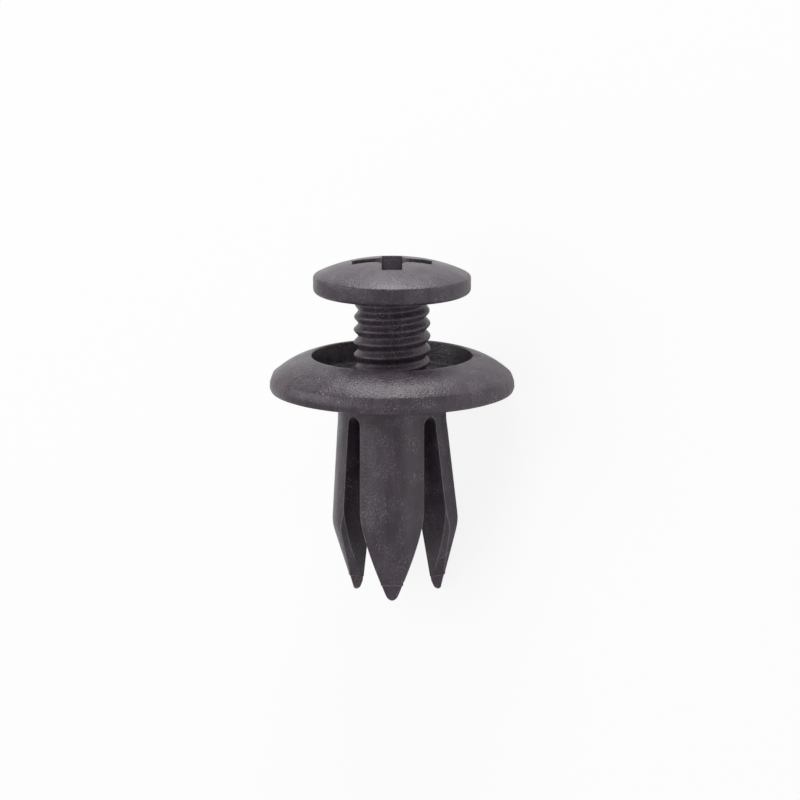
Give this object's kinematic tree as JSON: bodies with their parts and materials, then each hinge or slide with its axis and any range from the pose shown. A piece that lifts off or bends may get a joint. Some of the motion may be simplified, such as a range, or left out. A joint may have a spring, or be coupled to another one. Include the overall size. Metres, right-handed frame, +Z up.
{
  "type": "retainer clip",
  "caption": "Push-in plastic retainer clip: a domed flanged grommet with pointed split legs, and a cross-recessed threaded pin drawn out of it.",
  "frame": {"origin": "on the floor, below the centre of the clip's bounding box, as the clip lies", "axes": "+X along the clip as seen from above, towards the pin's head; +Z up from the floor; the clip lies on the flange's rim and two legs, its own axis raised 22.1 degrees towards the head"},
  "size_m": [0.021, 0.015, 0.0141],
  "materials": {
    "body_plastic": "moulded, semi-matt black",
    "pin_plastic": "moulded, semi-matt black"
  },
  "bodies": {
    "grommet": {"clip_body": "body_plastic"},
    "pin": {"screw_pin": "pin_plastic"}
  },
  "joints": [
    {"name": "pin_push", "type": "slide", "parent": "grommet", "child": "pin", "axis": [-0.9268, 0, -0.3755], "range_m": [0, 0.00533]}
  ]
}
